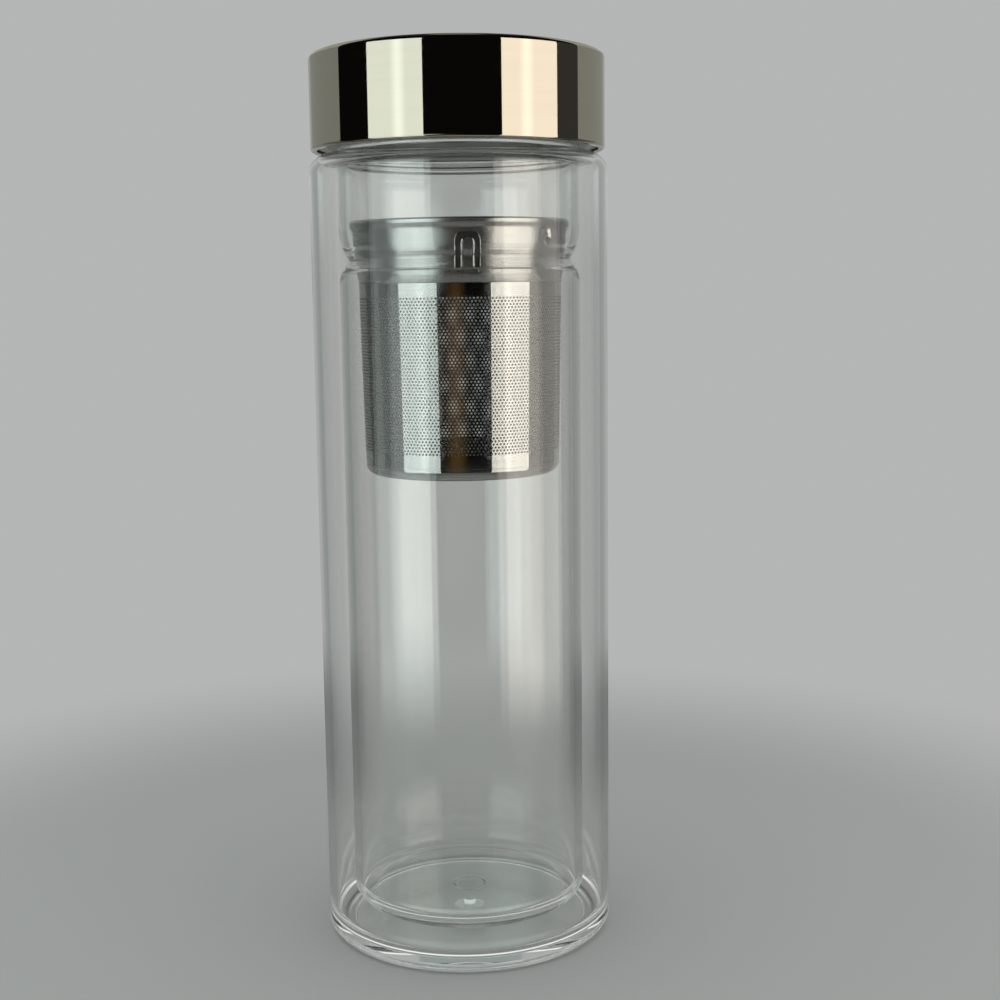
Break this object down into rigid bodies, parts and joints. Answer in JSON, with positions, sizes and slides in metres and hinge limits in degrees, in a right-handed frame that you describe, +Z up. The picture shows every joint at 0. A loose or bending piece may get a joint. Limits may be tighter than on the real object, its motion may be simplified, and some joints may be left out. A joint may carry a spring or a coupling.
{
  "type": "tea infuser tumbler",
  "caption": "Tall double-wall glass tumbler with a screw-on polished steel lid and a lift-out perforated steel tea infuser seated on a waist in the inner glass.",
  "frame": {"origin": "centre of the base, on the plane that the tumbler stands on", "axes": "+Z up along the tumbler's axis, -Y towards the front, where the first spring tongue of the collar is"},
  "size_m": [0.07, 0.07, 0.21],
  "materials": {
    "glass": "clear blown borosilicate",
    "polished_steel": "mirror-polished stainless steel",
    "brushed_steel": "satin stainless steel, brushed round the collar",
    "liner_plastic": "moulded natural white polypropylene",
    "silicone": "matt translucent white silicone"
  },
  "bodies": {
    "tumbler": {"outer_glass_wall": "glass", "inner_glass_vessel": "glass"},
    "lid_seal": {"lid_gasket": "silicone"},
    "lid": {"lid_shell": "polished_steel", "lid_liner": "liner_plastic"},
    "infuser": {"infuser_collar": "brushed_steel", "infuser_wall": "polished_steel", "infuser_floor": "polished_steel"}
  },
  "joints": [
    {"name": "lid_rise", "type": "slide", "parent": "tumbler", "child": "lid_seal", "axis": [0, 0, 1], "range_m": [0, 0.024]},
    {"name": "lid_turn", "type": "hinge", "parent": "lid_seal", "child": "lid", "pos_m": [0, 0, 0.2], "axis": [0, 0, 1], "range_deg": [0, 1440]},
    {"name": "infuser_lift", "type": "slide", "parent": "tumbler", "child": "infuser", "axis": [0, 0, 1], "range_m": [0, 0.03]}
  ],
  "couplings": [
    {"joint": "lid_rise", "follows": "lid_turn", "m_per_rad": 0.00095493}
  ]
}
